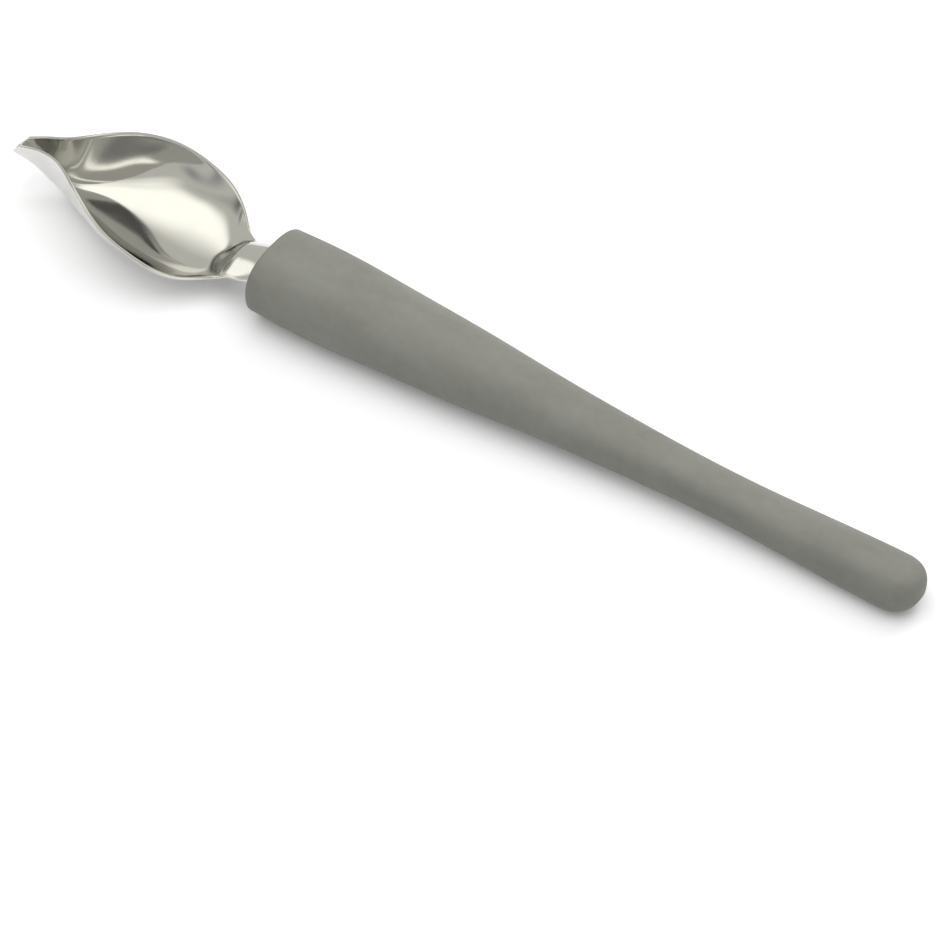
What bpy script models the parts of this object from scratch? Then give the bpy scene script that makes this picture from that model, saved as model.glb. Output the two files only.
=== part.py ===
"""A decorating spoon: a pressed steel head with a pouring spout, set in a soft-touch moulded handle.

Blender 4.5, metres, +Z up. The spoon lies on its handle: +X runs along the handle to the butt,
the spout points along -X, and the table is at Z = 0 below the middle of the spoon.
"""

import math

import bmesh
import bpy
import numpy as np

# Handle sizes
HANDLE_LENGTH = 0.1255
FRONT_WIDTH = 0.0162
BELLY_WIDTH = 0.0170
WAIST_WIDTH = 0.0082
FLARE_WIDTH = 0.0097
FRONT_HEIGHT = 0.0121
BELLY_HEIGHT = 0.0126
WAIST_HEIGHT = 0.0064
FLARE_HEIGHT = 0.0078
FRONT_EDGE_ROUND = 0.0009
BUTT_ROUND = 0.0050
BUTT_BLUNTNESS = 0.9
BUTT_TOP_POWER = 3.5
BUTT_BOTTOM_POWER = 2.1

# Handle profile: places are shares of the handle length, fullness is the share of the way
# from the waist's size to the belly's size
BELLY_PLACE = 0.080
WAIST_PLACE = 0.745
FLARE_PLACE = 0.945
TAPER = ((0.19, 0.89), (0.32, 0.685), (0.44, 0.395), (0.56, 0.15))

# Squareness of the handle's sections, against places along it: 2 is an ellipse
SECTION_POWER = ((0.0, 2.05), (0.30, 2.05), (0.45, 2.15), (0.62, 2.55), (0.75, 2.70), (0.90, 2.55), (1.0, 2.50))

# Handle construction
SKIN = 0.0018
FRONT_WALL = 0.0020
BUTT_WALL = 0.0040
SLOT_LEAD = 0.0020
REST_FLAT_DEPTH = 0.0001
CLEARANCE = 0.0003

# Head sizes: heights are measured from the handle's axis
SHEET = 0.0006
BOWL_LENGTH = 0.0465
NECK_LENGTH = 0.0080
BOWL_WIDTH = 0.0249
SPOUT_WIDTH = 0.0019
SPOUT_RAKE = 0.0025
SPOUT_RAKE_LENGTH = 0.0100
SPOUT_FLOOR_DEPTH = 0.0021
BOWL_FLOOR_DEPTH = 0.0052
HEEL_FLOOR_DEPTH = 0.0044
SHOULDER_HEIGHT = 0.00566
SPOUT_RIM_HEIGHT = 0.0006
HEEL_RIM_DEPTH = 0.0019
NECK_WIDTH = 0.0106
NECK_EDGE_HEIGHT = 0.0015
NECK_ARCH = 0.0034
ARCH_POWER = 1.5
TONGUE_REACH = 0.0042
TONGUE_ROOT = 0.0025
HEEL_CLIMB_LENGTH = 0.0080

# Tang sizes
TANG_LENGTH = 0.0600
TANG_ROOT_WIDTH = 0.0072
TANG_END_WIDTH = 0.0044
TANG_FLATTEN_LENGTH = 0.0140
KEY_HOLE_DIAMETER = 0.0030
FIRST_KEY_HOLE_DISTANCE = 0.020
SECOND_KEY_HOLE_DISTANCE = 0.036
KEY_HOLES_AT = (FIRST_KEY_HOLE_DISTANCE, SECOND_KEY_HOLE_DISTANCE)

# Bowl outline from the tip to the neck: places are shares of the bowl length
RIM_SPREAD = ((0.129, 0.118), (0.215, 0.186), (0.301, 0.343), (0.387, 0.555), (0.473, 0.750), (0.559, 0.905),
              (0.645, 0.989), (0.731, 1.0), (0.817, 0.955), (0.903, 0.775), (0.960, 0.570))
RIM_RISE = ((0.129, 0.41), (0.215, 0.64), (0.301, 0.86), (0.387, 1.0), (0.473, 0.99), (0.559, 0.84),
            (0.645, 0.62), (0.731, 0.39), (0.817, 0.10), (0.903, -0.22))
HEEL_LOW_PLACE = 0.975
FLOOR_FALL = ((0.065, 0.05), (0.129, 0.28), (0.215, 0.82), (0.330, 1.0))

# Cross-sections of the bowl, from the spout to the neck: place, flatness of the floor, lean of the wall
# and height of the wall's straight part
SECTION_SHAPE = ((0.0, 0.60, 0.00, 0.60), (0.129, 0.62, 0.00, 0.62), (0.301, 0.72, 0.02, 0.72),
                 (0.387, 0.66, 0.05, 0.70), (0.516, 0.54, 0.07, 0.65), (0.645, 0.49, 0.15, 0.65),
                 (0.780, 0.54, 0.25, 0.65), (0.900, 0.46, 0.28, 0.65))
PARABOLA = (1 / 3, 1 / 3, 2 / 3)

# Straight stretches: shares of the neck's length, and of the length over which the tang flattens
NECK_PARALLEL = (0.15, 0.5, 1.0)
TANG_ROOT_PARALLEL = (0.6, 1.0)

# Mesh fineness
BOWL_STATIONS = 36
NECK_STATIONS = 16
TANG_STATIONS = 14
SLOT_LEAD_STATIONS = 3
HALF_SECTION_STEPS = 9
HANDLE_STATIONS = 26
HANDLE_SIDES = 32
CORE_STATIONS = 16
CORE_SIDES = 20
FRONT_EDGE_STEPS = 4
BUTT_STEPS = 8
PEG_SIDES = 20
BUTT_CAP_ANGLE = math.radians(86)
SHARP_ANGLE = math.radians(50)

HEAD_REACH = BOWL_LENGTH + NECK_LENGTH


def smooth_curve(points):
    """A natural cubic spline through (place, value) points, level beyond its ends."""
    place = np.array([point[0] for point in points], float)
    value = np.array([point[1] for point in points], float)
    step = np.diff(place)
    slope = np.diff(value) / step
    bend = np.zeros(len(place))
    inner = len(place) - 2
    if inner > 0:
        matrix = np.diag(2 * (step[:-1] + step[1:]))
        matrix += np.diag(step[1:-1], 1) + np.diag(step[1:-1], -1)
        bend[1:-1] = np.linalg.solve(matrix, 6 * np.diff(slope))

    def at(x):
        x = min(max(x, place[0]), place[-1])
        i = min(int(np.searchsorted(place, x, side="right")) - 1, len(step) - 1)
        left = x - place[i]
        right = place[i + 1] - x
        curve = (bend[i] * right**3 + bend[i + 1] * left**3) / (6 * step[i])
        start = value[i] / step[i] - bend[i] * step[i] / 6
        end = value[i + 1] / step[i] - bend[i + 1] * step[i] / 6
        return float(curve + start * right + end * left)

    return at


def ease(share):
    """A step from 0 to 1 that starts and ends level."""
    share = min(max(share, 0.0), 1.0)
    return share**3 * (10 - 15 * share + 6 * share**2)


def handle_profile(front, belly, waist, flare):
    """Half of the handle's width or height against the distance behind its front end."""
    stations = [(0.0, front), (BELLY_PLACE, belly)]
    stations += [(place, waist + (belly - waist) * fullness) for place, fullness in TAPER]
    stations += [(WAIST_PLACE, waist), (FLARE_PLACE, flare), (1.0, flare)]
    return smooth_curve([(place * HANDLE_LENGTH, size / 2) for place, size in stations])


half_width = handle_profile(FRONT_WIDTH, BELLY_WIDTH, WAIST_WIDTH, FLARE_WIDTH)
half_height = handle_profile(FRONT_HEIGHT, BELLY_HEIGHT, WAIST_HEIGHT, FLARE_HEIGHT)
section_power = smooth_curve([(place * HANDLE_LENGTH, power) for place, power in SECTION_POWER])


def resting_pose():
    """Tilt of the handle, and height of its axis at the front end, when belly and butt lie on the table."""
    front = np.linspace(0, HANDLE_LENGTH / 2, 200)
    rear = np.linspace(HANDLE_LENGTH / 2, HANDLE_LENGTH - BUTT_ROUND, 200)
    front_depth = np.array([half_height(x) for x in front])
    rear_depth = np.array([half_height(x) for x in rear])
    slope = 0.0
    for _ in range(8):
        belly = np.argmax(front_depth + front * slope)
        butt = np.argmax(rear_depth + rear * slope)
        slope = (front_depth[belly] - rear_depth[butt]) / (rear[butt] - front[belly])
    height = (front_depth[belly] + front[belly] * slope) / math.hypot(1, slope)
    return math.atan(slope), height - REST_FLAT_DEPTH


TILT, AXIS_HEIGHT = resting_pose()


# Scene set-up
for old in list(bpy.data.objects):
    bpy.data.objects.remove(old, do_unlink=True)

spoon = bpy.data.collections.new("decorating_spoon")
cutters = bpy.data.collections.new("cutters")
cutters.hide_render = True
bpy.context.scene.collection.children.link(spoon)
bpy.context.scene.collection.children.link(cutters)

axis = bpy.data.objects.new("handle_axis", None)
axis.location = (HEAD_REACH - (HEAD_REACH + HANDLE_LENGTH) / 2, 0, AXIS_HEIGHT)
axis.rotation_euler = (0, TILT, 0)
spoon.objects.link(axis)


def material(name, colour, roughness, metallic):
    made = bpy.data.materials.new(name)
    made.use_nodes = True
    shader = made.node_tree.nodes["Principled BSDF"]
    shader.inputs["Base Color"].default_value = (*colour, 1)
    shader.inputs["Roughness"].default_value = roughness
    shader.inputs["Metallic"].default_value = metallic
    return made


def add_object(name, mesh, collection, parent=axis):
    made = bpy.data.objects.new(name, mesh)
    made.parent = parent
    collection.objects.link(made)
    if collection is cutters:
        made.hide_render = True
        made.display_type = "WIRE"
    return made


def mesh_from_rows(name, rows, closed):
    """A mesh through rows of points. A closed row is a ring, and the first and last rings are capped."""
    mesh = bpy.data.meshes.new(name)
    work = bmesh.new()
    grid = [[work.verts.new(point) for point in row] for row in rows]
    count = len(rows[0])
    sides = count if closed else count - 1
    for near, far in zip(grid[:-1], grid[1:]):
        for i in range(sides):
            j = (i + 1) % count
            work.faces.new((near[i], far[i], far[j], near[j]))
    if closed:
        work.faces.new(grid[0])
        work.faces.new(grid[-1][::-1])
        bmesh.ops.recalc_face_normals(work, faces=work.faces)
    work.to_mesh(mesh)
    work.free()
    mesh.shade_smooth()
    mesh.set_sharp_from_angle(angle=SHARP_ANGLE)
    return mesh


def cut(target, cutter):
    boolean = target.modifiers.new("cut " + cutter.name, "BOOLEAN")
    boolean.operation = "DIFFERENCE"
    boolean.solver = "EXACT"
    boolean.object = cutter


# Steel head: one sheet from the spout through the bowl and the neck to the tang
def from_tip(share):
    return share * BOWL_LENGTH - HEAD_REACH


rim_half = smooth_curve(
    [(SPOUT_RAKE - HEAD_REACH, SPOUT_WIDTH / 2)]
    + [(from_tip(place), share * BOWL_WIDTH / 2) for place, share in RIM_SPREAD]
    + [((share - 1) * NECK_LENGTH, NECK_WIDTH / 2) for share in NECK_PARALLEL]
    + [(share * TANG_FLATTEN_LENGTH, TANG_ROOT_WIDTH / 2) for share in TANG_ROOT_PARALLEL]
    + [(TANG_LENGTH, TANG_END_WIDTH / 2)]
)
rim_height = smooth_curve(
    [(SPOUT_RAKE - HEAD_REACH, SPOUT_RIM_HEIGHT)]
    + [(from_tip(place), share * SHOULDER_HEIGHT) for place, share in RIM_RISE]
    + [(from_tip(HEEL_LOW_PLACE), -HEEL_RIM_DEPTH), (0.0, NECK_EDGE_HEIGHT)]
)
floor_height = smooth_curve(
    [(-HEAD_REACH, -SPOUT_FLOOR_DEPTH)]
    + [
        (from_tip(place), -SPOUT_FLOOR_DEPTH - share * (BOWL_FLOOR_DEPTH - SPOUT_FLOOR_DEPTH))
        for place, share in FLOOR_FALL
    ]
    + [(-NECK_LENGTH, -HEEL_FLOOR_DEPTH), (0.0, -HEEL_FLOOR_DEPTH)]
)
section_shape = [
    smooth_curve(
        [(from_tip(row[0]), row[column]) for row in SECTION_SHAPE] + [(0.0, PARABOLA[column - 1])]
    )
    for column in (1, 2, 3)
]


def edge_height(x):
    """Height of the sheet's edge: the bowl's rim, then the neck's edge, which levels out along the tang."""
    if x <= 0:
        return rim_height(x)
    return NECK_EDGE_HEIGHT * (1 - ease(x / TANG_FLATTEN_LENGTH))


def middle_height(x):
    """Height of the bowl's floor, which climbs at the heel to the level of the neck's edges."""
    climb = ease((x + NECK_LENGTH + TONGUE_REACH) / HEEL_CLIMB_LENGTH)
    return floor_height(x) + (edge_height(x) - floor_height(x)) * climb


def arch_height(x, y):
    """Height that the arched neck adds: a rounded tongue in the bowl, which dies out along the tang."""
    full = NECK_ARCH * (1 - ease((x + NECK_LENGTH) / (NECK_LENGTH + TANG_FLATTEN_LENGTH)))
    before_neck = max(0.0, TONGUE_ROOT - NECK_LENGTH - x) / (TONGUE_REACH + TONGUE_ROOT)
    away = math.hypot(before_neck, 2 * y / NECK_WIDTH)
    return full * max(0.0, 1 - away**2) ** ARCH_POWER


def head_section(x, widen):
    """One row of points across the sheet, from the near edge to the far edge."""
    rake = SPOUT_RAKE * max(0.0, 1 - (x + HEAD_REACH) / SPOUT_RAKE_LENGTH)
    half = rim_half(x + rake)
    middle = middle_height(x)
    reach = (half + widen) / half
    edge = middle + (edge_height(x + rake) - middle) * reach**2
    half *= reach
    floor_share, lean, wall_share = (curve(x) for curve in section_shape)
    across = (0.0, floor_share * half, (1 - lean) * half, half)
    height = (middle, middle, edge + (middle - edge) * wall_share, edge)
    side = []
    for step in range(HALF_SECTION_STEPS + 1):
        s = step / HALF_SECTION_STEPS
        weight = ((1 - s) ** 3, 3 * s * (1 - s) ** 2, 3 * s**2 * (1 - s), s**3)
        y = sum(w * c for w, c in zip(weight, across))
        z = sum(w * c for w, c in zip(weight, height))
        side.append((x + rake * s**2, y, z + arch_height(x, y)))
    return [(px, -py, pz) for px, py, pz in side[:0:-1]] + side


def sheet(name, places, widen):
    return mesh_from_rows(name, [head_section(x, widen) for x in places], closed=False)


def thicken(target, thickness, above):
    solidify = target.modifiers.new("sheet thickness", "SOLIDIFY")
    solidify.thickness = thickness
    solidify.offset = 2 * above / thickness - 1
    solidify.use_even_offset = True


bowl_places = np.linspace(-HEAD_REACH, -NECK_LENGTH - TONGUE_REACH, BOWL_STATIONS, endpoint=False)
neck_places = np.linspace(-NECK_LENGTH - TONGUE_REACH, 0.0, NECK_STATIONS, endpoint=False)
tang_places = np.linspace(0.0, TANG_LENGTH, TANG_STATIONS)
head_places = np.concatenate((bowl_places, neck_places, tang_places))
head = add_object("spoon_head", sheet("spoon_head", head_places, 0.0), spoon)
head.data.materials.append(material("polished stainless steel", (0.72, 0.71, 0.68), 0.16, 1.0))
thicken(head, SHEET, 0.0)


def rod(name, x, diameter, length):
    """A round rod through the tang, square to it, as a cutter."""
    mesh = bpy.data.meshes.new(name)
    work = bmesh.new()
    bmesh.ops.create_cone(
        work,
        cap_ends=True,
        segments=PEG_SIDES,
        radius1=diameter / 2,
        radius2=diameter / 2,
        depth=length,
    )
    work.to_mesh(mesh)
    work.free()
    made = add_object(name, mesh, cutters)
    made.location = (x, 0, -SHEET / 2)
    return made


lead_places = np.linspace(-SLOT_LEAD, 0.0, SLOT_LEAD_STATIONS, endpoint=False)
slot_places = np.concatenate((lead_places, tang_places, [TANG_LENGTH + CLEARANCE]))
slot = add_object("tang_slot", sheet("tang_slot", slot_places, CLEARANCE), cutters)
thicken(slot, SHEET + 2 * CLEARANCE, CLEARANCE)
for number, place in enumerate(KEY_HOLES_AT, 1):
    reach_through = 4 * (SHEET + 2 * CLEARANCE)
    cut(head, rod(f"key_hole_{number}", place, KEY_HOLE_DIAMETER, reach_through))
    cut(slot, rod(f"core_peg_{number}", place, KEY_HOLE_DIAMETER - 2 * CLEARANCE, reach_through))


# Handle: a stiff core round the tang, inside a soft skin
def ring(x, across, up, down, sides):
    """One handle section: a superellipse with a flat at the top, the bottom and each side."""
    fullness = 2 / section_power(x)
    points = []
    for i in range(sides):
        angle = 2 * math.pi * (i + 0.5) / sides
        c = math.cos(angle)
        s = math.sin(angle)
        y = across * math.copysign(abs(c) ** fullness, c)
        z = (up if s > 0 else down) * math.copysign(abs(s) ** fullness, s)
        points.append((x, y, z))
    return points


def handle_body(name, start, end, inset, stations, sides, edge_round):
    """The handle's shape between two distances from its front end, drawn in by an inset, with round ends."""
    butt_round = BUTT_ROUND - inset
    rings = []
    for step in range(FRONT_EDGE_STEPS):
        angle = math.pi / 2 * step / FRONT_EDGE_STEPS
        x = start + edge_round * (1 - math.cos(angle))
        drawn_in = inset + edge_round * (1 - math.sin(angle))
        high = half_height(x) - drawn_in
        rings.append(ring(x, half_width(x) - drawn_in, high, high, sides))
    for x in np.linspace(start + edge_round, end - butt_round, stations):
        high = half_height(x) - inset
        rings.append(ring(x, half_width(x) - inset, high, high, sides))
    for step in range(1, BUTT_STEPS + 1):
        angle = BUTT_CAP_ANGLE * step / BUTT_STEPS
        x = end - butt_round * (1 - math.sin(angle))
        across = (half_width(x) - inset) * math.cos(angle) ** BUTT_BLUNTNESS
        up, down = (
            (half_height(x) - inset) * (1 - math.sin(angle) ** power) ** (1 / power)
            for power in (BUTT_TOP_POWER, BUTT_BOTTOM_POWER)
        )
        rings.append(ring(x, across, up, down, sides))
    return mesh_from_rows(name, rings, closed=True)


core = add_object(
    "handle_core",
    handle_body(
        "handle_core",
        FRONT_WALL + CLEARANCE,
        HANDLE_LENGTH - BUTT_WALL - CLEARANCE,
        SKIN + CLEARANCE,
        CORE_STATIONS,
        CORE_SIDES,
        CLEARANCE,
    ),
    spoon,
)
core.data.materials.append(material("moulded polypropylene", (0.20, 0.20, 0.19), 0.55, 0.0))
cut(core, slot)

grip = add_object(
    "handle_grip",
    handle_body(
        "handle_grip", 0.0, HANDLE_LENGTH, 0.0, HANDLE_STATIONS, HANDLE_SIDES, FRONT_EDGE_ROUND
    ),
    spoon,
)
grip.data.materials.append(material("soft-touch elastomer", (0.25, 0.25, 0.225), 0.62, 0.0))
cavity = add_object(
    "grip_cavity",
    handle_body(
        "grip_cavity", FRONT_WALL, HANDLE_LENGTH - BUTT_WALL, SKIN, CORE_STATIONS, CORE_SIDES, CLEARANCE
    ),
    cutters,
)
cut(grip, cavity)
cut(grip, slot)

table_mesh = bpy.data.meshes.new("table_cut")
table_work = bmesh.new()
bmesh.ops.create_cube(table_work, size=1.0)
bmesh.ops.scale(table_work, vec=(2 * HANDLE_LENGTH, 2 * BELLY_WIDTH, BELLY_HEIGHT), verts=table_work.verts)
bmesh.ops.translate(table_work, vec=(HANDLE_LENGTH / 2, 0, -BELLY_HEIGHT / 2), verts=table_work.verts)
table_work.to_mesh(table_mesh)
table_work.free()
table = add_object("table_cut", table_mesh, cutters, parent=None)
cut(grip, table)
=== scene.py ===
# %% [markdown]
# # A decorating spoon
#
# This lesson dresses a small decorating spoon: a leaf-shaped bowl of thin polished steel, drawn in at
# one end to a pouring spout, on a soft grey handle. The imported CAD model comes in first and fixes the
# sizes and places. The head and the grip are then rebuilt with finer meshes, the core keeps its CAD mesh,
# and each gets a finish of its own.

import math

import bmesh
import bpy
import numpy as np
from mathutils import Matrix, Vector


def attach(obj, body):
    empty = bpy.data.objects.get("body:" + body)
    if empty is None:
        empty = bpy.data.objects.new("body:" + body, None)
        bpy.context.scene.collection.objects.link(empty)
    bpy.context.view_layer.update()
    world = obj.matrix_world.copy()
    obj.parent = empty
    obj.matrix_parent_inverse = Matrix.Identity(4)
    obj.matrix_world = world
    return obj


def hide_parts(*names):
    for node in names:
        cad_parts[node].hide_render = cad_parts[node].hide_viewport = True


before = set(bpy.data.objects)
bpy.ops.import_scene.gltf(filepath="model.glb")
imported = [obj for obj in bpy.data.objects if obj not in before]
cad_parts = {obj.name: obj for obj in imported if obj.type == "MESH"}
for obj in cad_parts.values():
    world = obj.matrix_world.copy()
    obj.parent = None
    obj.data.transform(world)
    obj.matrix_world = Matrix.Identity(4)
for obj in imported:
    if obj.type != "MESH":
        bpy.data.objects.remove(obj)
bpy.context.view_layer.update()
MM = 0.001

# %% [markdown]
# ## Camera
#
# The spoon is seen from above its front side, turned a little over a third of a right angle towards the
# butt. A long lens from 0.7 m away keeps the handle from shrinking much towards its far end, as in a
# product picture.

# %% Camera
def towards(azimuth, elevation):
    """Direction from the spoon: azimuth 0 is its front, 90 the butt's end, and elevation 90 straight up."""
    turn = math.radians(azimuth)
    rise = math.radians(elevation)
    return Vector((math.sin(turn) * math.cos(rise), -math.cos(turn) * math.cos(rise), math.sin(rise)))


SPOON_MIDDLE = Vector((0, 0, 5 * MM))
AIM_POINT = Vector((17.17 * MM, -18.53 * MM, 5 * MM))
CAMERA_DISTANCE = 0.7
CAMERA_AZIMUTH = 34.333
CAMERA_ELEVATION = 46
SENSOR_WIDTH_MM = 36
FOCAL_LENGTH_MM = 162.54

camera_data = bpy.data.cameras.new("camera")
camera_data.sensor_width = SENSOR_WIDTH_MM
camera_data.lens = FOCAL_LENGTH_MM
camera = bpy.data.objects.new("camera", camera_data)
camera.location = SPOON_MIDDLE + CAMERA_DISTANCE * towards(CAMERA_AZIMUTH, CAMERA_ELEVATION)
camera.rotation_euler = (AIM_POINT - camera.location).to_track_quat("-Z", "Y").to_euler()
bpy.context.scene.collection.objects.link(camera)
bpy.context.scene.camera = camera
print("camera at", [round(value, 3) for value in camera.location])

# %% [markdown]
# ## Smooth outlines
#
# A pressed spoon has no corners along its length: its rim swings out, up and in again in one sweep. A few
# measured points and a natural cubic spline through them give such a sweep, just as a bent batten does
# on a drawing board.

# %% Smooth outlines
def smooth_curve(points):
    """A natural cubic spline through (place, value) points, level beyond its ends."""
    place, value = np.array(points, float).T
    step = np.diff(place)
    slope = np.diff(value) / step
    bend = np.zeros(len(place))
    matrix = np.diag(2 * (step[:-1] + step[1:])) + np.diag(step[1:-1], 1) + np.diag(step[1:-1], -1)
    bend[1:-1] = np.linalg.solve(matrix, 6 * np.diff(slope))

    def at(x):
        x = min(max(x, place[0]), place[-1])
        i = min(int(np.searchsorted(place, x, side="right")) - 1, len(step) - 1)
        left = x - place[i]
        right = place[i + 1] - x
        curve = (bend[i] * right**3 + bend[i + 1] * left**3) / (6 * step[i])
        start = value[i] / step[i] - bend[i] * step[i] / 6
        end = value[i + 1] / step[i] - bend[i + 1] * step[i] / 6
        return float(curve + start * right + end * left)

    return at


def ease(share):
    """A step from 0 to 1 that starts and ends level."""
    share = min(max(share, 0.0), 1.0)
    return share**3 * (10 - 15 * share + 6 * share**2)


print("eased step, a quarter of the way along:", round(ease(0.25), 3))

# %% [markdown]
# ## Sheet of the steel head
#
# The head is one pressing: spout, bowl, arched neck and, inside the handle, a flat tang. Along its length
# four curves say how wide the rim is, how high it stands, how deep the floor lies and how the wall rises
# between them. Heights are measured from the handle's axis, and distances from the handle's front end.

# %% Sheet of the steel head
SHEET = 0.6 * MM
BOWL_LENGTH = 46.5 * MM
NECK_LENGTH = 8.0 * MM
BOWL_WIDTH = 24.9 * MM
SPOUT_WIDTH = 1.9 * MM
SPOUT_RAKE = 2.5 * MM
SPOUT_RAKE_LENGTH = 10.0 * MM
SPOUT_FLOOR_DEPTH = 2.1 * MM
BOWL_FLOOR_DEPTH = 5.2 * MM
HEEL_FLOOR_DEPTH = 4.4 * MM
SHOULDER_HEIGHT = 5.66 * MM
SPOUT_RIM_HEIGHT = 0.6 * MM
HEEL_RIM_DEPTH = 1.9 * MM
NECK_WIDTH = 10.6 * MM
NECK_EDGE_HEIGHT = 1.5 * MM
NECK_ARCH = 3.4 * MM
ARCH_POWER = 1.5
TONGUE_REACH = 4.2 * MM
TONGUE_ROOT = 2.5 * MM
HEEL_CLIMB_LENGTH = 8.0 * MM
TANG_LENGTH = 60.0 * MM
TANG_ROOT_WIDTH = 7.2 * MM
TANG_END_WIDTH = 4.4 * MM
TANG_FLATTEN_LENGTH = 14.0 * MM
HEAD_REACH = BOWL_LENGTH + NECK_LENGTH

RIM_SPREAD = ((0.129, 0.118), (0.215, 0.186), (0.301, 0.343), (0.387, 0.555), (0.473, 0.750), (0.559, 0.905),
              (0.645, 0.989), (0.731, 1.0), (0.817, 0.955), (0.903, 0.775), (0.960, 0.570))
RIM_RISE = ((0.129, 0.41), (0.215, 0.64), (0.301, 0.86), (0.387, 1.0), (0.473, 0.99), (0.559, 0.84),
            (0.645, 0.62), (0.731, 0.39), (0.817, 0.10), (0.903, -0.22))
FLOOR_FALL = ((0.065, 0.05), (0.129, 0.28), (0.215, 0.82), (0.330, 1.0))
HEEL_LOW_PLACE = 0.975
NECK_PARALLEL = (0.15, 0.5, 1.0)
TANG_ROOT_PARALLEL = (0.6, 1.0)
SECTION_SHAPE = ((0.0, 0.60, 0.00, 0.60), (0.129, 0.62, 0.00, 0.62), (0.301, 0.72, 0.02, 0.72),
                 (0.387, 0.66, 0.05, 0.70), (0.516, 0.54, 0.07, 0.65), (0.645, 0.49, 0.15, 0.65),
                 (0.780, 0.54, 0.25, 0.65), (0.900, 0.46, 0.28, 0.65))
PARABOLA = (1 / 3, 1 / 3, 2 / 3)


def from_tip(share):
    """Place along the handle's axis of a share of the bowl's length, counted from the spout's tip."""
    return share * BOWL_LENGTH - HEAD_REACH


rim_half = smooth_curve(
    [(SPOUT_RAKE - HEAD_REACH, SPOUT_WIDTH / 2)]
    + [(from_tip(place), share * BOWL_WIDTH / 2) for place, share in RIM_SPREAD]
    + [((share - 1) * NECK_LENGTH, NECK_WIDTH / 2) for share in NECK_PARALLEL]
    + [(share * TANG_FLATTEN_LENGTH, TANG_ROOT_WIDTH / 2) for share in TANG_ROOT_PARALLEL]
    + [(TANG_LENGTH, TANG_END_WIDTH / 2)]
)
rim_height = smooth_curve(
    [(SPOUT_RAKE - HEAD_REACH, SPOUT_RIM_HEIGHT)]
    + [(from_tip(place), share * SHOULDER_HEIGHT) for place, share in RIM_RISE]
    + [(from_tip(HEEL_LOW_PLACE), -HEEL_RIM_DEPTH), (0.0, NECK_EDGE_HEIGHT)]
)
FLOOR_DROP = BOWL_FLOOR_DEPTH - SPOUT_FLOOR_DEPTH
floor_height = smooth_curve(
    [(-HEAD_REACH, -SPOUT_FLOOR_DEPTH)]
    + [(from_tip(place), -SPOUT_FLOOR_DEPTH - share * FLOOR_DROP) for place, share in FLOOR_FALL]
    + [(-NECK_LENGTH, -HEEL_FLOOR_DEPTH), (0.0, -HEEL_FLOOR_DEPTH)]
)
section_shape = [
    smooth_curve([(from_tip(row[0]), row[column]) for row in SECTION_SHAPE] + [(0.0, PARABOLA[column - 1])])
    for column in (1, 2, 3)
]
print("head in front of the handle:", round(HEAD_REACH / MM, 1), "mm long")

# %% [markdown]
# ## One row across the sheet
#
# Each cross-section is half a Bezier curve, mirrored: flat at the floor, then curving up into the wall. At
# the heel the floor climbs and the arched neck runs out over it as a rounded tongue, which stiffens the
# joint of a thin spoon. The points are spaced evenly along the curve, so that no face is a sliver.

# %% One row across the sheet
HALF_STEPS = 30
CURVE_POINTS = 241


def edge_height(x):
    """Height of the sheet's edge: the bowl's rim, then the neck's edge, which levels out along the tang."""
    if x <= 0:
        return rim_height(x)
    return NECK_EDGE_HEIGHT * (1 - ease(x / TANG_FLATTEN_LENGTH))


def middle_height(x):
    """Height of the bowl's floor, which climbs at the heel to the level of the neck's edges."""
    climb = ease((x + NECK_LENGTH + TONGUE_REACH) / HEEL_CLIMB_LENGTH)
    return floor_height(x) + (edge_height(x) - floor_height(x)) * climb


def arch_height(x, y):
    """Height that the arched neck adds: a rounded tongue in the bowl, which dies out along the tang."""
    full = NECK_ARCH * (1 - ease((x + NECK_LENGTH) / (NECK_LENGTH + TANG_FLATTEN_LENGTH)))
    before_neck = max(0.0, TONGUE_ROOT - NECK_LENGTH - x) / (TONGUE_REACH + TONGUE_ROOT)
    away = np.hypot(before_neck, 2 * y / NECK_WIDTH)
    return full * np.maximum(0.0, 1 - away**2) ** ARCH_POWER


def sheet_row(x):
    """Points across the top of the sheet, near edge to far edge, half a thickness short of both."""
    rake = SPOUT_RAKE * max(0.0, 1 - (x + HEAD_REACH) / SPOUT_RAKE_LENGTH)
    half = rim_half(x + rake)
    middle = middle_height(x)
    edge = edge_height(x + rake)
    floor_share, lean, wall_share = (curve(x) for curve in section_shape)
    s = np.linspace(0, 1, CURVE_POINTS)
    weight = np.array(((1 - s) ** 3, 3 * s * (1 - s) ** 2, 3 * s**2 * (1 - s), s**3))
    y = np.array((0.0, floor_share * half, (1 - lean) * half, half)) @ weight
    z = np.array((middle, middle, edge + (middle - edge) * wall_share, edge)) @ weight + arch_height(x, y)
    curve = np.column_stack((x + rake * s**2, y, z))
    travel = np.append(0, np.cumsum(np.linalg.norm(np.diff(curve, axis=0), axis=1)))
    stops = np.linspace(0, travel[-1] - SHEET / 2, HALF_STEPS + 1)
    side = np.column_stack([np.interp(stops, travel, column) for column in curve.T])
    return np.vstack((side[:0:-1] * (1, -1, 1), side))


print("row across the middle of the bowl:", len(sheet_row(from_tip(0.5))), "points")

# %% [markdown]
# ## Steel head
#
# Real sheet has a top, an underside and an edge that is tumbled round after stamping. The rows are set
# side by side, the underside is moved one thickness along the normals, and a half circle of points joins
# the two round the rim. The first and last rings shrink in a quarter circle, which rounds the spout's lip.

# %% Steel head
BOWL_ROWS = 150
NECK_ROWS = 64
TANG_ROWS = 40
RIM_STEPS = 6
HANDLE_TILT = math.radians(1.26863)
AXIS_HEIGHT = 6.47814 * MM
HANDLE_START = -35.5 * MM
WELD_DISTANCE = 0.0005 * MM


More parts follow.
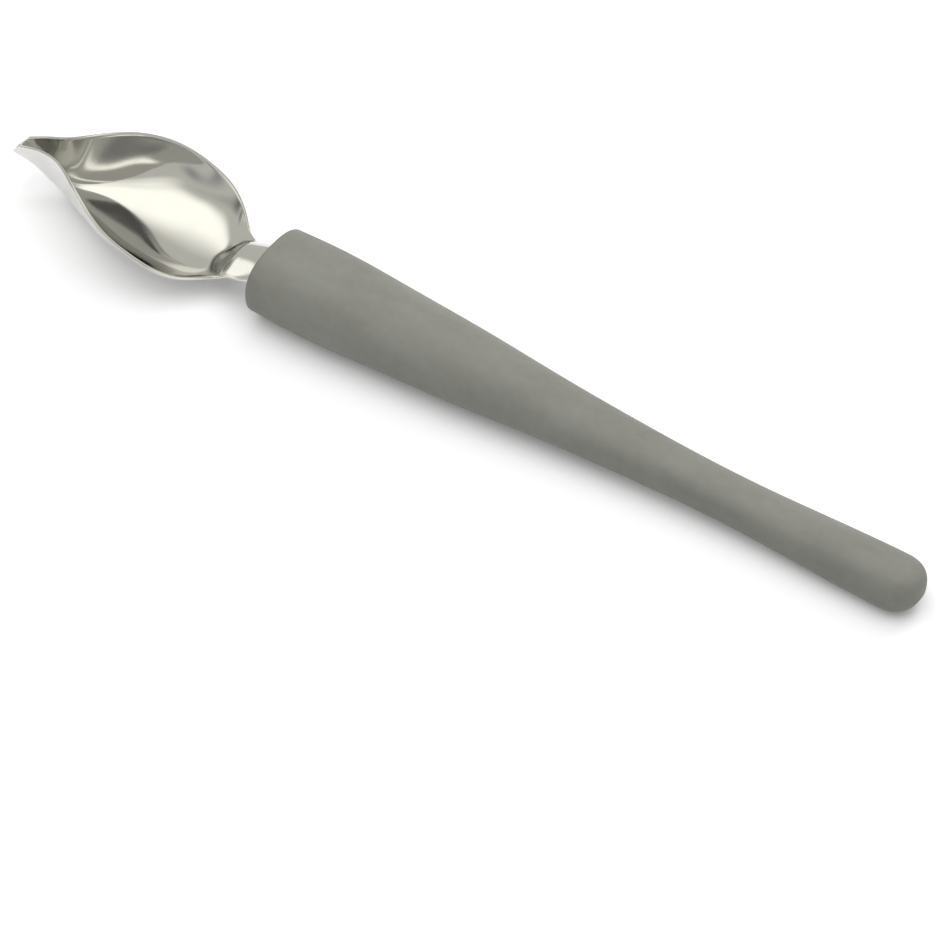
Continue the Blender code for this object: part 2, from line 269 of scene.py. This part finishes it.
def lay_down(points):
    """From the handle's own axes to the table's: the spoon lies on the belly and the butt of its handle."""
    x, y, z = np.asarray(points, float).T
    flat = x * math.cos(HANDLE_TILT) + z * math.sin(HANDLE_TILT) + HANDLE_START
    return np.column_stack((flat, y, z * math.cos(HANDLE_TILT) - x * math.sin(HANDLE_TILT) + AXIS_HEIGHT))


def unit(vectors):
    """The same directions, each with a length of 1."""
    return vectors / np.linalg.norm(vectors, axis=-1, keepdims=True)


def skin_rings(name, rings):
    """A closed smooth mesh over rings of points. A ring shrunk to a line or a point closes its end."""
    count = len(rings[0])
    faces = []
    for start in range(0, (len(rings) - 1) * count, count):
        for i in range(count):
            j = (i + 1) % count
            faces.append((start + i, start + j, start + j + count, start + i + count))
    mesh = bpy.data.meshes.new(name)
    mesh.from_pydata(lay_down(np.vstack(rings)), [], faces)
    work = bmesh.new()
    work.from_mesh(mesh)
    bmesh.ops.remove_doubles(work, verts=work.verts, dist=WELD_DISTANCE)
    bmesh.ops.recalc_face_normals(work, faces=work.faces)
    work.to_mesh(mesh)
    work.free()
    mesh.shade_smooth()
    piece = bpy.data.objects.new(name, mesh)
    bpy.context.scene.collection.objects.link(piece)
    return piece


bowl_rows = np.linspace(SHEET / 2 - HEAD_REACH, -NECK_LENGTH - TONGUE_REACH, BOWL_ROWS, endpoint=False)
neck_rows = np.linspace(-NECK_LENGTH - TONGUE_REACH, 0.0, NECK_ROWS, endpoint=False)
tang_rows = np.linspace(0.0, TANG_LENGTH - SHEET / 2, TANG_ROWS)
top = np.array([sheet_row(x) for x in np.concatenate((bowl_rows, neck_rows, tang_rows))])
along = unit(np.gradient(top, axis=0))
across = unit(np.gradient(top, axis=1))
upward = unit(np.cross(along, across))
core_line = top - upward * SHEET / 2


def sheet_ring(row, thickness, shift):
    """One ring round the sheet: its top, its far edge, its underside and its near edge."""
    half = thickness / 2
    middle = core_line[row] + along[row] * shift
    rise = upward[row] * half
    turns = np.linspace(0, math.pi, RIM_STEPS + 2)[1:-1, None]
    far_out = unit(across[row][-1] - upward[row][-1] * (across[row][-1] @ upward[row][-1])) * half
    near_out = far_out * (1, -1, 1)
    far_edge = middle[-1] + np.cos(turns) * rise[-1] + np.sin(turns) * far_out
    near_edge = middle[0] - np.cos(turns) * rise[0] + np.sin(turns) * near_out
    return np.vstack((middle + rise, far_edge, (middle - rise)[::-1], near_edge))


round_off = [math.radians(angle) for angle in (90, 70, 50, 30, 15)]
rings = [sheet_ring(0, SHEET * math.cos(a), -SHEET / 2 * math.sin(a)) for a in round_off]
rings += [sheet_ring(row, SHEET, 0.0) for row in range(len(top))]
rings += [sheet_ring(-1, SHEET * math.cos(a), SHEET / 2 * math.sin(a)) for a in reversed(round_off)]
steel_head = skin_rings("steel_head", rings)
print("steel head:", len(rings), "rings of", len(rings[0]), "points")

# %% [markdown]
# ## Key holes
#
# The tang has two holes. The handle's core is moulded through them, so that the head can't be pulled
# out. They lie inside the handle, but a spoon that is opened or printed has them, so they are cut here.

# %% Key holes
KEY_HOLE_RADIUS = 1.5 * MM
KEY_HOLE_PLACES = (20 * MM, 36 * MM)
KEY_HOLE_SIDES = 48
ROD_LENGTH = 8 * SHEET
SHARP_ANGLE = math.radians(60)


def punch(piece, distance):
    """Cut a round hole through the tang at a distance from the handle's front end."""
    place = lay_down([(distance, 0, -SHEET / 2)])[0]
    bpy.ops.mesh.primitive_cylinder_add(
        vertices=KEY_HOLE_SIDES, radius=KEY_HOLE_RADIUS, depth=ROD_LENGTH, location=place
    )
    rod = bpy.context.object
    rod.rotation_euler = (0, HANDLE_TILT, 0)
    boolean = piece.modifiers.new("punch", "BOOLEAN")
    boolean.operation = "DIFFERENCE"
    boolean.solver = "EXACT"
    boolean.object = rod
    graph = bpy.context.evaluated_depsgraph_get()
    punched = bpy.data.meshes.new_from_object(piece.evaluated_get(graph))
    piece.modifiers.clear()
    piece.data = punched
    bpy.data.objects.remove(rod)


for distance in KEY_HOLE_PLACES:
    punch(steel_head, distance)
steel_head.data.set_sharp_from_angle(angle=SHARP_ANGLE)
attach(steel_head, "root")
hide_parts("spoon_head")
print("steel head:", len(steel_head.data.polygons), "faces")

# %% [markdown]
# ## Soft-touch grip
#
# The handle swells behind the bowl for the fingertips, narrows to a waist and flares again at the butt. Its
# skin is moulded over a stiff core, so it has no seam. It is one long tube of rings, like a bottle: up the
# outside from the butt, over the rounded front edge, in through the slot for the neck and back along the
# inside.

# %% Outline of the grip
HANDLE_LENGTH = 125.5 * MM
FRONT_WIDTH = 16.2 * MM
BELLY_WIDTH = 17.0 * MM
WAIST_WIDTH = 8.2 * MM
FLARE_WIDTH = 9.7 * MM
FRONT_HEIGHT = 12.1 * MM
BELLY_HEIGHT = 12.6 * MM
WAIST_HEIGHT = 6.4 * MM
FLARE_HEIGHT = 7.8 * MM
BELLY_PLACE = 0.080
WAIST_PLACE = 0.745
FLARE_PLACE = 0.945
FRONT_EDGE_ROUND = 0.9 * MM
BUTT_ROUND = 5.0 * MM
BUTT_BLUNTNESS = 0.9
BUTT_TOP_POWER = 3.5
BUTT_BOTTOM_POWER = 2.1
SKIN = 1.8 * MM
FRONT_WALL = 2.0 * MM
BUTT_WALL = 4.0 * MM
TAPER = ((0.19, 0.89), (0.32, 0.685), (0.44, 0.395), (0.56, 0.15))
SECTION_POWER = ((0.0, 2.45), (0.12, 2.25), (0.30, 2.1), (0.45, 2.15),
                 (0.62, 2.55), (0.75, 2.70), (0.90, 2.55), (1.0, 2.50))
GRIP_SIDES = 120


def handle_profile(front, belly, waist, flare):
    """Half of the handle's width or height against the distance behind its front end."""
    stations = [(0.0, front), (BELLY_PLACE, belly)]
    stations += [(place, waist + (belly - waist) * fullness) for place, fullness in TAPER]
    stations += [(WAIST_PLACE, waist), (FLARE_PLACE, flare), (1.0, flare)]
    return smooth_curve([(place * HANDLE_LENGTH, size / 2) for place, size in stations])


half_width = handle_profile(FRONT_WIDTH, BELLY_WIDTH, WAIST_WIDTH, FLARE_WIDTH)
half_height = handle_profile(FRONT_HEIGHT, BELLY_HEIGHT, WAIST_HEIGHT, FLARE_HEIGHT)
section_power = smooth_curve([(place * HANDLE_LENGTH, power) for place, power in SECTION_POWER])


def grip_ring(x, drawn_in, wide=1.0, high=1.0, low=1.0):
    """One ring of the handle: nearly an ellipse behind the belly, squarer towards both ends."""
    angle = 2 * math.pi * (np.arange(GRIP_SIDES) + 0.5) / GRIP_SIDES
    c = np.cos(angle)
    s = np.sin(angle)
    fullness = 2 / section_power(x)
    y = (half_width(x) - drawn_in) * wide * np.sign(c) * np.abs(c) ** fullness
    z = (half_height(x) - drawn_in) * np.where(s > 0, high, -low) * np.abs(s) ** fullness
    return np.column_stack((np.full(GRIP_SIDES, x), y, z))


def butt_rings(end, drawn_in, steps):
    """The round butt, from the point at its middle out to the handle's side: crisp above, round below."""
    radius = BUTT_ROUND - drawn_in
    made = []
    for share in np.linspace(1, 0, steps):
        reach = math.sin(share * math.pi / 2)
        x = end - radius * (1 - reach)
        wide = (1 - reach**2) ** (BUTT_BLUNTNESS / 2)
        high, low = ((1 - reach**power) ** (1 / power) for power in (BUTT_TOP_POWER, BUTT_BOTTOM_POWER))
        made.append(grip_ring(x, drawn_in, wide, high, low))
    return made


belly = BELLY_PLACE * HANDLE_LENGTH
print("belly of the grip in mm:", [round(2 * half(belly) / MM, 1) for half in (half_width, half_height)])

# %% [markdown]
# The slot follows the arched neck with a hair of clearance, which shows as a thin dark line where steel
# meets skin.

# %% Soft-touch grip
SLOT_CLEARANCE = 0.15 * MM
SLOT_MOUTH_ROUND = 0.15 * MM
BUTT_RINGS = 20
SIDE_RINGS = 110
FRONT_EDGE_RINGS = 9
INSIDE_RINGS = 50
INSIDE_BUTT_RINGS = 8


def slot_ring(x, clearance, place):
    """The slot's outline: the neck's section at x, grown by the clearance, as a ring at another place."""
    y, z = sheet_row(x)[:, 1:].T
    slope_y = np.gradient(y)
    slope_z = np.gradient(z)
    reach = np.hypot(slope_y, slope_z)
    out_y = -slope_z / reach
    out_z = slope_y / reach
    over = np.column_stack((y + out_y * clearance, z + out_z * clearance))
    below = SHEET + clearance
    under = np.column_stack((y - out_y * below, z - out_z * below))
    far_end = (over[-1] + under[-1]) / 2 + (SHEET / 2 + clearance, 0)
    near_end = far_end * (-1, 1)
    outline = np.vstack((far_end, over[::-1], near_end, under, far_end))
    travel = np.append(0, np.cumsum(np.linalg.norm(np.diff(outline, axis=0), axis=1)))
    stops = travel[-1] * (np.arange(GRIP_SIDES) + 0.5) / GRIP_SIDES
    columns = [np.interp(stops, travel, column) for column in outline.T]
    return np.column_stack((np.full(GRIP_SIDES, place), *columns))


def between(first, last, shares):
    """Rings between two others, at shares of the way from the first to the last."""
    return [first + (last - first) * share for share in shares]


outside = butt_rings(HANDLE_LENGTH, 0.0, BUTT_RINGS)
side_places = np.linspace(HANDLE_LENGTH - BUTT_ROUND, FRONT_EDGE_ROUND, SIDE_RINGS)
outside += [grip_ring(x, 0.0) for x in side_places[1:]]
for angle in np.linspace(math.pi / 2, 0, FRONT_EDGE_RINGS)[1:]:
    depth = FRONT_EDGE_ROUND * (1 - math.cos(angle))
    outside.append(grip_ring(depth, FRONT_EDGE_ROUND * (1 - math.sin(angle))))
slot_mouth = slot_ring(0.0, SLOT_CLEARANCE + SLOT_MOUTH_ROUND, 0.0)
outside += between(outside[-1], slot_mouth, (0.3, 0.6, 0.85, 1.0))
for depth in (0.3 * SLOT_MOUTH_ROUND, SLOT_MOUTH_ROUND, FRONT_WALL / 2, FRONT_WALL):
    opening = SLOT_CLEARANCE + max(0.0, SLOT_MOUTH_ROUND - depth)
    outside.append(slot_ring(depth, opening, depth))
inside_front = grip_ring(FRONT_WALL, SKIN)
inside = between(outside[-1], inside_front, (0.4, 0.8, 1.0))
inside_end = HANDLE_LENGTH - BUTT_WALL
inside_places = np.linspace(FRONT_WALL, inside_end - BUTT_ROUND + SKIN, INSIDE_RINGS)
inside += [grip_ring(x, SKIN) for x in inside_places[1:]]
inside += butt_rings(inside_end, SKIN, INSIDE_BUTT_RINGS)[::-1][1:]
soft_grip = skin_rings("soft_grip", outside + inside)
# The soft skin lies flat where it rests on the table.
for vertex in soft_grip.data.vertices:
    vertex.co.z = max(vertex.co.z, 0.0)
soft_grip.data.set_sharp_from_angle(angle=SHARP_ANGLE)
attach(soft_grip, "root")
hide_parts("handle_grip")
print("soft grip:", len(outside) + len(inside), "rings,", len(soft_grip.data.polygons), "faces")

# %% [markdown]
# ## Finishes
#
# Every finish is drawn by noise patterns in real sizes. Colours are written as screen hex values, and one
# function turns them into the linear light that the renderer works in.

# %% Helpers for finishes
def colour(hex_code):
    """Linear colour from an sRGB hex code."""
    parts = [int(hex_code[i : i + 2], 16) / 255 for i in (1, 3, 5)]
    return [v / 12.92 if v <= 0.04045 else ((v + 0.055) / 1.055) ** 2.4 for v in parts] + [1]


def add_node(tree, kind, options=None, inputs=None):
    """One node, with its options set, and with each input set to a value or linked to a socket."""
    node = tree.nodes.new("ShaderNode" + kind)
    for name, value in (options or {}).items():
        setattr(node, name, value)
    for name, value in (inputs or {}).items():
        if isinstance(value, bpy.types.NodeSocket):
            tree.links.new(value, node.inputs[name])
        else:
            node.inputs[name].default_value = value
    return node


def new_finish(name):
    """An empty material: its node tree, its surface shader and the place of each point in metres."""
    material = bpy.data.materials.new(name)
    material.use_nodes = True
    tree = material.node_tree
    place = add_node(tree, "TexCoord").outputs["Object"]
    return material, tree, tree.nodes["Principled BSDF"], place


def pattern(tree, place, size, detail=2.0):
    """Noise whose blotches are about as big as the size, given in metres along X, Y and Z."""
    stretch = add_node(tree, "Mapping", inputs={"Vector": place, "Scale": [1 / part for part in size]})
    return add_node(
        tree, "TexNoise", inputs={"Vector": stretch.outputs["Vector"], "Scale": 1.0, "Detail": detail}
    ).outputs["Fac"]


def ramp(tree, factor, stops):
    """Colours along a pattern, from (place, colour) stops."""
    node = add_node(tree, "ValToRGB", inputs={"Fac": factor})
    points = node.color_ramp.elements
    while len(points) < len(stops):
        points.new(0.5)
    for point, (place, value) in zip(points, stops):
        point.position = place
        point.color = value
    return node.outputs["Color"]


def spread(tree, factor, low, high):
    """A pattern's middle range, stretched between two values."""
    settings = {"Value": factor, "From Min": 0.3, "From Max": 0.7, "To Min": low, "To Max": high}
    return add_node(tree, "MapRange", inputs=settings).outputs["Result"]


print("middle grey in linear light:", round(colour("#808080")[0], 3))

# %% [markdown]
# ### Polished stainless steel
#
# Stainless sheet is warm grey metal. After pressing it is polished with a soft wheel along its length,
# which leaves hair-fine lines. They are drawn 0.12 mm wide, coarser than real ones, and soften the
# reflections a little. Where the wheel has dwelt the shine is deeper. A faint drift of tint comes from the
# rolled skin of the steel.

# %% Polished stainless steel
steel, tree, surface, place = new_finish("stainless steel, pressed and wheel polished")
rolled_skin = pattern(tree, place, (9 * MM, 9 * MM, 9 * MM))
wheel_marks = pattern(tree, place, (6 * MM, 0.12 * MM, 0.12 * MM))
wheel_dwell = pattern(tree, place, (7 * MM, 5 * MM, 5 * MM))
tints = [(0.3, colour("#CDCDCA")), (0.5, colour("#D0CFCC")), (0.7, colour("#CCCDC9"))]
tree.links.new(ramp(tree, rolled_skin, tints), surface.inputs["Base Color"])
tree.links.new(spread(tree, wheel_dwell, 0.07, 0.10), surface.inputs["Roughness"])
lines = add_node(tree, "Bump", inputs={"Height": wheel_marks, "Strength": 0.06, "Distance": 0.01 * MM})
tree.links.new(lines.outputs["Normal"], surface.inputs["Normal"])
surface.inputs["Metallic"].default_value = 1.0
steel_head.data.materials.clear()
steel_head.data.materials.append(steel)
print("steel finish:", len(tree.nodes), "nodes")

# %% [markdown]
# ### Soft-touch skin
#
# The skin is a grey elastomer, moulded in a tool that was spark eroded to a fine matt grain. The grain
# scatters light, so there is no clear highlight, only a soft sheen near grazing angles. It is drawn 0.3 mm
# coarse, coarser than a real one, so that it can show. The IOR is that of a silicone rubber, a little below
# that of most plastics. The colour drifts slightly where the melt ran.

# %% Soft-touch skin
skin, tree, surface, place = new_finish("soft-touch elastomer, moulded matt")
melt_flow = pattern(tree, place, (14 * MM, 5 * MM, 5 * MM))
mottle = pattern(tree, place, (1.6 * MM, 1.6 * MM, 1.6 * MM))
grain = pattern(tree, place, (0.3 * MM, 0.3 * MM, 0.3 * MM))
handling = pattern(tree, place, (6 * MM, 6 * MM, 6 * MM))
greys = [(0.3, colour("#85857E")), (0.5, colour("#8A8A82")), (0.7, colour("#8E8E87"))]
shade_drift = spread(tree, mottle, -0.1, 0.1)
blotches = add_node(tree, "Math", {"operation": "ADD"}, {0: shade_drift, 1: melt_flow}).outputs[0]
tree.links.new(ramp(tree, blotches, greys), surface.inputs["Base Color"])
tree.links.new(spread(tree, handling, 0.60, 0.68), surface.inputs["Roughness"])
pits = add_node(tree, "Bump", inputs={"Height": grain, "Strength": 0.25, "Distance": 0.02 * MM})
tree.links.new(pits.outputs["Normal"], surface.inputs["Normal"])
surface.inputs["IOR"].default_value = 1.41
soft_grip.data.materials.append(skin)
print("grip finish:", len(tree.nodes), "nodes")

# %% [markdown]
# ### Moulded core
#
# Inside the skin lies the stiff core, which nobody sees on a whole spoon. It is plain dark polypropylene as
# it leaves the mould: slightly glossy, with faint flow marks.

# %% Moulded core
plastic, tree, surface, place = new_finish("polypropylene, as moulded")
flow_marks = pattern(tree, place, (12 * MM, 2 * MM, 2 * MM))
darks = [(0.3, colour("#4C4C48")), (0.7, colour("#55554F"))]
tree.links.new(ramp(tree, flow_marks, darks), surface.inputs["Base Color"])
tree.links.new(spread(tree, flow_marks, 0.40, 0.52), surface.inputs["Roughness"])
surface.inputs["IOR"].default_value = 1.49
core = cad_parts["handle_core"]
core.data.materials.clear()
core.data.materials.append(plastic)
print("core finish:", len(tree.nodes), "nodes")

# %% [markdown]
# ## Table
#
# The spoon lies on a white table. Its paint throws back nearly all the light that falls on it. What the
# camera, and the mirror of the steel, see of it is pure white, with the soft shadow kept.

# %% Table
TABLE_RADIUS = 2.5
TABLE_SIDES = 96
TABLE_GAP = 0.05 * MM

bpy.ops.mesh.primitive_circle_add(
    vertices=TABLE_SIDES, radius=TABLE_RADIUS, fill_type="NGON", location=(0, 0, -TABLE_GAP)
)
table = bpy.context.object
table.name = "white_table"
paint = bpy.data.materials.new("white table paint")
paint.use_nodes = True
tree = paint.node_tree
tree.nodes.remove(tree.nodes["Principled BSDF"])


def seen_directly(tree):
    """1 for what the camera sees, itself or in a mirror or through glass, and 0 for scattered light."""
    ray = add_node(tree, "LightPath").outputs
    larger = {"operation": "MAXIMUM"}
    seen = add_node(tree, "Math", larger, {0: ray["Is Camera Ray"], 1: ray["Is Glossy Ray"]})
    return add_node(tree, "Math", larger, {0: seen.outputs[0], 1: ray["Is Transmission Ray"]}).outputs[0]


matt = add_node(tree, "BsdfDiffuse", inputs={"Color": colour("#F7F7F7")})
white = add_node(tree, "BsdfDiffuse", inputs={"Color": (1, 1, 1, 1)})
glow = add_node(tree, "Emission", inputs={"Color": (1, 1, 1, 1), "Strength": 0.14})
bright = add_node(tree, "AddShader", inputs={0: white.outputs[0], 1: glow.outputs[0]})
both = add_node(tree, "MixShader", inputs={0: seen_directly(tree), 1: matt.outputs[0], 2: bright.outputs[0]})
tree.links.new(both.outputs[0], tree.nodes["Material Output"].inputs["Surface"])
table.data.materials.append(paint)
print("table:", 2 * TABLE_RADIUS, "m wide")

# %% [markdown]
# ## Room
#
# Steel is a mirror, so it looks like the room it lies in. This room is warm grey in the steel. As a light
# it is dimmer and cooler, so that the soft boxes shape the handle.

# %% Room
world = bpy.data.worlds.new("grey room")
world.use_nodes = True
tree = world.node_tree
ROOM_TINT = colour("#FFFEF5")
ROOM_IN_STEEL = 0.67
ROOM_AS_LIGHT = 0.17
dim = add_node(tree, "Background", inputs={"Color": colour("#F4F5FF"), "Strength": ROOM_AS_LIGHT})
grey = add_node(tree, "Background", inputs={"Color": ROOM_TINT, "Strength": ROOM_IN_STEEL})
both = add_node(tree, "MixShader", inputs={0: seen_directly(tree), 1: dim.outputs[0], 2: grey.outputs[0]})
tree.links.new(both.outputs[0], tree.nodes["World Output"].inputs["Surface"])
bpy.context.scene.world = world
bpy.context.scene.view_settings.view_transform = "Standard"
print("room:", ROOM_IN_STEEL, "in the steel and", ROOM_AS_LIGHT, "as a light")

# %% [markdown]
# ## Soft boxes
#
# A key lamp behind the handle throws the soft shadow towards the viewer, and the ceiling fills it. Both are
# hidden from the metal. The others are there for the steel: the box over the spout fills the bowl with
# white, and the strip over the butt draws the pale band along the far wall. The boxes at the front and at
# the right are hidden from matt surfaces, because they would light the near side of the handle too much.

# %% Soft boxes
BOWL_MIDDLE = Vector((-62 * MM, 0, 5 * MM))
LAMP_DISTANCE = 1.0
BOX_FADE = 0.7


def face_bowl(piece, azimuth, elevation, distance, roll):
    """Put a lamp or a card at a distance from the bowl, turned towards it, out of the camera's sight."""
    direction = towards(azimuth, elevation)
    piece.location = BOWL_MIDDLE + distance * direction
    turned = direction.to_track_quat("Z", "Y").to_matrix() @ Matrix.Rotation(math.radians(roll), 3, "Z")
    piece.rotation_euler = turned.to_euler()
    piece.visible_camera = False


def soft_box(name, azimuth, elevation, width, height, brightness, roll=0, in_metal=True, on_matt=True):
    """A soft lamp a metre away, which fades towards its edges. Brightness 1 is the white of the table.

    It can be hidden from the mirror of the metal, or from matt surfaces.
    """
    data = bpy.data.lights.new(name, "AREA")
    data.shape = "RECTANGLE"
    data.size = width
    data.size_y = height
    data.energy = brightness * math.pi * width * height
    data.color = ROOM_TINT[:3] if in_metal else (1, 1, 1)
    data.use_nodes = True
    tree = data.node_tree
    cloth = add_node(tree, "NewGeometry").outputs["Parametric"]
    centred = add_node(tree, "Mapping", inputs={"Vector": cloth, "Location": (-1, -1, 0), "Scale": (2, 2, 0)})
    inward = add_node(tree, "TexGradient", {"gradient_type": "SPHERICAL"}, {"Vector": centred.outputs[0]})
    fade = {"Value": inward.outputs["Fac"], "From Max": BOX_FADE}
    fade = add_node(tree, "MapRange", {"interpolation_type": "SMOOTHSTEP"}, fade)
    tree.links.new(fade.outputs["Result"], tree.nodes["Emission"].inputs["Strength"])
    lamp = bpy.data.objects.new(name, data)
    bpy.context.scene.collection.objects.link(lamp)
    face_bowl(lamp, azimuth, elevation, LAMP_DISTANCE, roll)
    lamp.visible_glossy = in_metal
    lamp.visible_diffuse = on_matt


soft_box("box over the spout", -80, 66.5, 2.1, 0.43, 0.95, roll=5)
soft_box("box at the front", -4, 46, 0.48, 0.6, 0.48, roll=20, on_matt=False)
soft_box("box at the right", 78, 22, 2.0, 1.05, 0.75, roll=-12, on_matt=False)
soft_box("box at the left", -67, 21, 0.46, 0.36, 0.85)
soft_box("strip behind the spout", -172, 10, 0.48, 1.2, 1.25, roll=8)
soft_box("strip over the butt", 106, 52, 0.84, 0.15, 1.6, roll=-35)
soft_box("strip at the back", 127, 29.5, 0.3, 0.12, 0.9)
soft_box("key behind the handle", 170.5, 39.7, 0.75, 0.5, 5.4, in_metal=False)
soft_box("ceiling", 0, 90, 2.6, 2.6, 1.6, in_metal=False)

# %% [markdown]
# ## Dark cards
#
# Bright steel alone looks like plaster. Dark cards between the boxes give it the dark lines that the eye
# reads as polish: the one beside the camera draws the wedge along the near wall. Their edges are soft, like
# gauze.

# %% Dark cards
CARD_DISTANCE = 0.9


def dark_card(name, azimuth, elevation, width, height, brightness, roll=0, softness=1.0):
    """An oval card nearer than the lamps. Its sizes are those that it would have a metre away."""
    bpy.ops.mesh.primitive_plane_add(size=1)
    card = bpy.context.object
    card.name = name
    card.scale = (CARD_DISTANCE * width, CARD_DISTANCE * height, 1)
    face_bowl(card, azimuth, elevation, CARD_DISTANCE, roll)
    gauze, tree, surface, place = new_finish("grey gauze")
    tree.nodes.remove(surface)
    centred = add_node(tree, "Mapping", inputs={"Vector": place, "Scale": (2, 2, 0)})
    inward = add_node(tree, "TexGradient", {"gradient_type": "SPHERICAL"}, {"Vector": centred.outputs[0]})
    fade = {"Value": inward.outputs["Fac"], "From Max": softness}
    fade = add_node(tree, "MapRange", {"interpolation_type": "SMOOTHSTEP"}, fade)
    clear = add_node(tree, "BsdfTransparent")
    glow = add_node(tree, "Emission", inputs={"Color": (1, 1, 1, 1), "Strength": brightness})
    both = {0: fade.outputs["Result"], 1: clear.outputs[0], 2: glow.outputs[0]}
    both = add_node(tree, "MixShader", inputs=both)
    tree.links.new(both.outputs[0], tree.nodes["Material Output"].inputs["Surface"])
    card.data.materials.append(gauze)


dark_card("card_camera", 18.5, 53.5, 0.34, 0.085, 0.08, roll=-50, softness=0.3)
dark_card("card_high_right", 68, 64, 0.62, 0.26, 0.34)
dark_card("card_front_low", -13, 22, 0.75, 0.24, 0.36, roll=-50)
dark_card("card_front_high", -44, 43, 0.62, 0.26, 0.2, roll=-12)
dark_card("card_left", -66, 38, 0.4, 0.18, 0.26)
dark_card("card_heel", -115, 39, 0.3, 0.36, 0.2)
